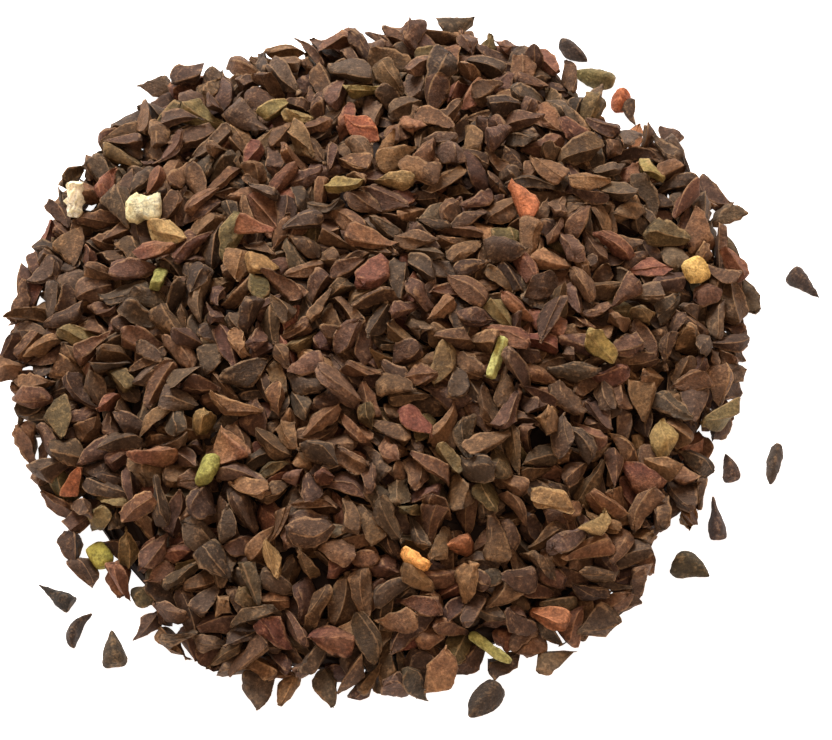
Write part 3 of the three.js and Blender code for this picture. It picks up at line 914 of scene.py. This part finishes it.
def add_noise(tree, size):
    """Noise whose blobs are about size millimetres across."""
    coordinates = tree.nodes.new("ShaderNodeTexCoord")
    scale = 1 / (size * METRES)
    noise = add_node(tree, "ShaderNodeTexNoise", Scale=scale, Detail=NOISE_DETAIL)
    noise.inputs["Roughness"].default_value = NOISE_ROUGHNESS
    tree.links.new(coordinates.outputs["Object"], noise.inputs["Vector"])
    return noise.outputs["Fac"]


def add_math(tree, operation, first, second):
    node = tree.nodes.new("ShaderNodeMath")
    node.operation = operation
    tree.links.new(first, node.inputs[0])
    tree.links.new(second, node.inputs[1])
    return node.outputs["Value"]


def add_mix(tree, share, first, second):
    """The share of the second colour in the first. Either is a colour or a socket that gives one."""
    node = tree.nodes.new("ShaderNodeMix")
    node.data_type = "RGBA"
    sockets = [socket for socket in node.inputs if socket.type == "RGBA"]
    for socket, value in zip(sockets, (first, second)):
        if isinstance(value, bpy.types.NodeSocket):
            tree.links.new(value, socket)
        else:
            socket.default_value = (*value, 1)
    tree.links.new(share, node.inputs["Factor"])
    return next(socket for socket in node.outputs if socket.type == "RGBA")


def add_range(tree, value, from_low, from_high, to_low, to_high):
    node = add_node(tree, "ShaderNodeMapRange")
    for key, number in zip(("From Min", "From Max", "To Min", "To Max"),
                           (from_low, from_high, to_low, to_high)):
        node.inputs[key].default_value = number
    tree.links.new(value, node.inputs["Value"])
    return node.outputs["Result"]


def add_attribute(tree, name, output):
    node = tree.nodes.new("ShaderNodeAttribute")
    node.attribute_name = name
    return node.outputs[output]


def seed_material(name, pale):
    """A dry seed coat: mottled and finely grained, with paler worn patches, and paler ridges that are
    partly worn and partly a painted highlight.
    """
    material, tree, shader = new_material(name)
    tint = add_attribute(tree, "tint", "Color")
    edge = add_attribute(tree, "edge", "Fac")
    mottle = add_noise(tree, MOTTLE_SIZE)
    grain = add_noise(tree, GRAIN_SIZE)

    level = add_math(tree, "MULTIPLY", add_range(tree, mottle, *NOISE_RANGE, *MOTTLE_LEVELS),
                     add_range(tree, grain, *NOISE_RANGE, *GRAIN_LEVELS))
    coat = tree.nodes.new("ShaderNodeVectorMath")
    coat.operation = "SCALE"
    tree.links.new(tint, coat.inputs[0])
    tree.links.new(level, coat.inputs["Scale"])

    # Where the coat turns pale: worn at random patches and specks, and at the edges partly worn and
    # partly a painted highlight.
    worn_and_highlit = add_math(tree, "ADD", edge, add_range(tree, mottle, *NOISE_RANGE, *PATCH_LEVELS))
    worn_and_highlit = add_math(tree, "ADD", worn_and_highlit, add_range(tree, grain, *NOISE_RANGE, *SPECK_LEVELS))
    worn_and_highlit = add_range(tree, worn_and_highlit, *WEAR_AND_HIGHLIGHT_RANGE, 0.0, WEAR_AND_HIGHLIGHT_SHARE)
    colour = add_mix(tree, worn_and_highlit, coat.outputs["Vector"], pale)
    tree.links.new(colour, shader.inputs["Base Color"])

    shader.inputs["Roughness"].default_value = COAT_ROUGHNESS
    shader.inputs["Specular IOR Level"].default_value = COAT_GLOSS
    pits = add_math(tree, "ADD", grain, add_noise(tree, PIT_SIZE))
    relief = add_node(tree, "ShaderNodeBump", Strength=1.0, Distance=PIT_DEPTH * METRES)
    tree.links.new(pits, relief.inputs["Height"])
    tree.links.new(relief.outputs["Normal"], shader.inputs["Normal"])
    return material


def painted_shade_core_material():
    # Near-black: the core shows only through the gaps between the seeds, as painted shade there.
    material, tree, shader = new_material("core")
    colour = add_mix(tree, add_noise(tree, CORE_PATCH), *CORE_SHADE_COLOURS)
    tree.links.new(colour, shader.inputs["Base Color"])
    shader.inputs["Roughness"].default_value = CORE_ROUGHNESS
    return material


def finish_piece(piece, material, slot, *nodes):
    piece.data.materials.append(material)
    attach(piece, "root")
    if nodes:
        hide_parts(*nodes)


# --------------------------------------------------------------------------------------- stage


def make_camera():
    data = bpy.data.cameras.new("camera")
    data.lens = CAMERA_LENS
    data.clip_start = CAMERA_CLIP * METRES
    camera = bpy.data.objects.new("camera", data)
    bpy.context.scene.collection.objects.link(camera)
    tilt = math.radians(CAMERA_ELEVATION)
    back = Vector((0, -math.cos(tilt), math.sin(tilt)))
    camera.location = (Vector(CAMERA_AIM) + back * CAMERA_DISTANCE) * METRES
    camera.rotation_euler = (math.pi / 2 - tilt, 0, 0)
    bpy.context.scene.camera = camera


def make_floor():
    corners = [(x * FLOOR_REACH, y * FLOOR_REACH, 0) for x, y in ((-1, -1), (1, -1), (1, 1), (-1, 1))]
    floor = mesh_object("floor", corners, [(0, 1, 2, 3)])
    material, _, shader = new_material("floor")
    shader.inputs["Base Color"].default_value = (*FLOOR_COLOUR, 1)
    shader.inputs["Roughness"].default_value = FLOOR_ROUGHNESS
    shader.inputs["Emission Color"].default_value = (1, 1, 1, 1)
    shader.inputs["Emission Strength"].default_value = FLOOR_GLOW
    floor.data.materials.append(material)


def make_lights():
    data = bpy.data.lights.new("lamp", "AREA")
    data.energy = LAMP_WATTS
    data.size = LAMP_SIZE
    lamp = bpy.data.objects.new("lamp", data)
    bpy.context.scene.collection.objects.link(lamp)
    lamp.location = LAMP_PLACE
    toward = Vector(LAMP_AIM) - Vector(LAMP_PLACE)
    lamp.rotation_euler = toward.to_track_quat("-Z", "Y").to_euler()

    world = bpy.data.worlds.new("world")
    bpy.context.scene.world = world
    world.use_nodes = True
    background = world.node_tree.nodes["Background"]
    background.inputs["Color"].default_value = (*AMBIENT_COLOUR, 1)
    background.inputs["Strength"].default_value = AMBIENT_STRENGTH


# ---------------------------------------------------------------------------------------- heap


def draw_kinds(count):
    names = list(KINDS)
    shares = np.array([KINDS[name][0] for name in names])
    return [names[i] for i in rng.choice(len(names), count, p=shares / shares.sum())]


def placed(points, moves):
    """Each thing's points, moved by its matrix."""
    return np.einsum("nij,nvj->nvi", moves[:, :3, :3], points) + moves[:, None, :3, 3]


def model_things(poured):
    """Surface, edges and kind of the heap's things: the rim's seeds, those that are poured, the
    chosen ones and the bits."""
    rim, chosen = len(RIM_SEEDS), len(CHOSEN_SEEDS)
    rows = RIM_SEEDS + CHOSEN_SEEDS
    shape = draw_seeds(rim + poured + chosen)
    listed = np.r_[:rim, rim + poured : rim + poured + chosen]
    shape["length"][listed] = [length for _, _, _, length, _, _ in rows]
    shape["width"][listed] = [width for _, _, _, _, width, _ in rows]
    seeds, seed_edges = model_seeds(shape)
    bits, bit_edges = model_bits()
    kinds = [kind for *_, kind in RIM_SEEDS] + draw_kinds(poured) + [kind for *_, kind in CHOSEN_SEEDS]
    surface = np.concatenate([seeds, bits])
    return surface, np.concatenate([seed_edges, bit_edges]), np.array(kinds + list(BITS))


def rim_starts(hulls):
    return [
        lying(x, y, -hull[:, 2].min(), direction)
        for (x, y, direction, *_), hull in zip(RIM_SEEDS, hulls)
    ]


def pour(hulls, starts, obstacles):
    """Which of these seeds, the rim's first, are in the heap once it is poured, and their matrices."""
    rim = len(RIM_SEEDS)
    rest = settle(hulls, starts, obstacles, FENCED_FRAMES, rim, [fence_wall()])
    kept = np.flatnonzero(stays_in_heap(hulls, rest))
    rest = settle(hulls[kept], rest[kept], obstacles, FREE_FRAMES, rim)
    stays = stays_in_heap(hulls[kept], rest)
    return kept[stays], rest[stays]


def lay(hulls, first, kept, rest, obstacles):
    """Lays the chosen seeds and the bits, which are the hulls from the first on, on those kept."""
    places = [row[:3] for row in CHOSEN_SEEDS] + [row[0][:3] for row in BITS.values()]
    stays = make_room(rest, places)
    kept, rest = kept[stays], rest[stays]
    under = placed(hulls[kept], rest).reshape(-1, 3)
    halves = np.ptp(hulls[first:, :, 2], axis=1) / 2
    starts = [*rest, *laying_starts(under, places, halves)]
    kept = np.append(kept, np.arange(first, len(hulls)))
    rest = settle(hulls[kept], starts, obstacles, LAYING_FRAMES, len(rest), damping=LAYING_DAMPING)
    return kept, rest


def heap_things():
    """The points, edges, matrix at rest and kind of every seed and bit of the heap."""
    lattice = lattice_starts()
    poured = len(RIM_SEEDS) + len(lattice)
    surface, edges, kinds = model_things(len(lattice))
    hulls = surface[:, HULL_STATIONS][:, :, :: len(FACE_POINTS)].reshape(len(surface), -1, 3)
    obstacles = [core_surface(), floor_block(), *loose_blocks()]
    kept, rest = pour(hulls[:poured], rim_starts(hulls) + lattice, obstacles)
    kept, rest = lay(hulls, poured, kept, rest, obstacles)
    return with_ends(surface)[kept], with_ends(edges)[kept], rest, kinds[kept]


def build_heap():
    local, edges, rest, kinds = heap_things()
    looks = {name: look for name, (_, *look) in {**KINDS, **BITS}.items()} | CHOSEN_KINDS
    for name, (first, second, slot) in looks.items():
        own = kinds == name
        tint = tints(local[own], first, second)
        piece = join_things(name, local[own], edges[own], rest[own], tint)
        # Edges turn to this colour: for seeds a paler one, partly worn coat and partly painted
        # highlight; for bits their second colour, which on the husks is painted shade.
        pale = second if name in BITS else edge_wear_and_highlight_colour(first)
        finish_piece(piece, seed_material(name, pale), slot, "seed_heap")
    # The core's near-black colour is painted shade in the gaps between the seeds.
    core_points, core_faces = core_surface()
    core = mesh_object("heap_core", np.array(core_points) * METRES, core_faces)
    finish_piece(core, painted_shade_core_material(), "dark_seed", "seed_heap")


def edge_wear_and_highlight_colour(colour):
    return np.array(colour) * EDGE_WEAR_AND_HIGHLIGHT_SHARE + EDGE_WEAR_AND_HIGHLIGHT_COLOUR


def build_loose():
    slots = {row["node"]: row["material_slot"] for row in frame["record"]["subparts"]}
    for node, (first, second) in zip(loose_nodes(), LOOSE_LOOKS):
        piece, points, edge = fine_copy(node, node.name + "_coat")
        set_attributes(piece.data, tints(points, first, second), edge)
        # The pale edges are partly a worn coat and partly a painted highlight.
        finish_piece(piece, seed_material(node.name, edge_wear_and_highlight_colour(first)), slots[node.name], node.name)


make_camera()
build_heap()
build_loose()
make_floor()
make_lights()
bpy.context.scene.view_settings.view_transform = "Standard"
